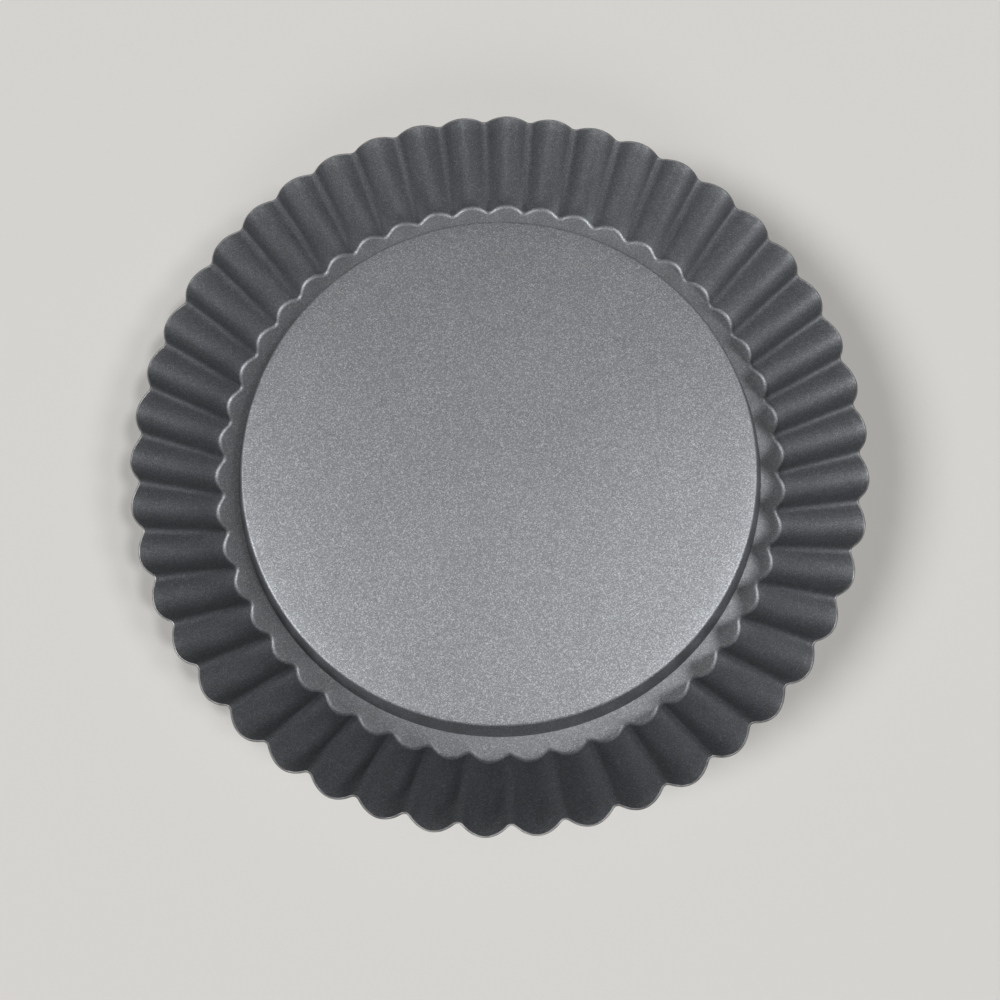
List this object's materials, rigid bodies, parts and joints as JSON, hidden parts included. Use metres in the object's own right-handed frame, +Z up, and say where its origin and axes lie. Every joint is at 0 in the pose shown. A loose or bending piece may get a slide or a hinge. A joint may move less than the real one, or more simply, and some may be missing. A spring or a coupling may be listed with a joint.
{
  "type": "quiche pan",
  "caption": "Round fluted quiche pan in dark non-stick steel: a flared, scalloped ring with a narrow ledge, and a raised loose base that lifts out.",
  "frame": {"origin": "on the pan's axis, on the surface that it stands on", "axes": "+Z up along the pan's axis, +X through the middle of a lobe of the fluted wall"},
  "size_m": [0.2802, 0.2796, 0.0392],
  "materials": {
    "ring_coating": "satin dark grey non-stick coating with fine metallic flake",
    "base_coating": "satin dark grey non-stick coating with fine metallic flake"
  },
  "bodies": {
    "ring": {"fluted_ring": "ring_coating"},
    "base": {"loose_base": "base_coating"}
  },
  "joints": [
    {"name": "base_lift", "type": "slide", "parent": "ring", "child": "base", "axis": [0, 0, 1], "range_m": [0, 0.05]}
  ]
}
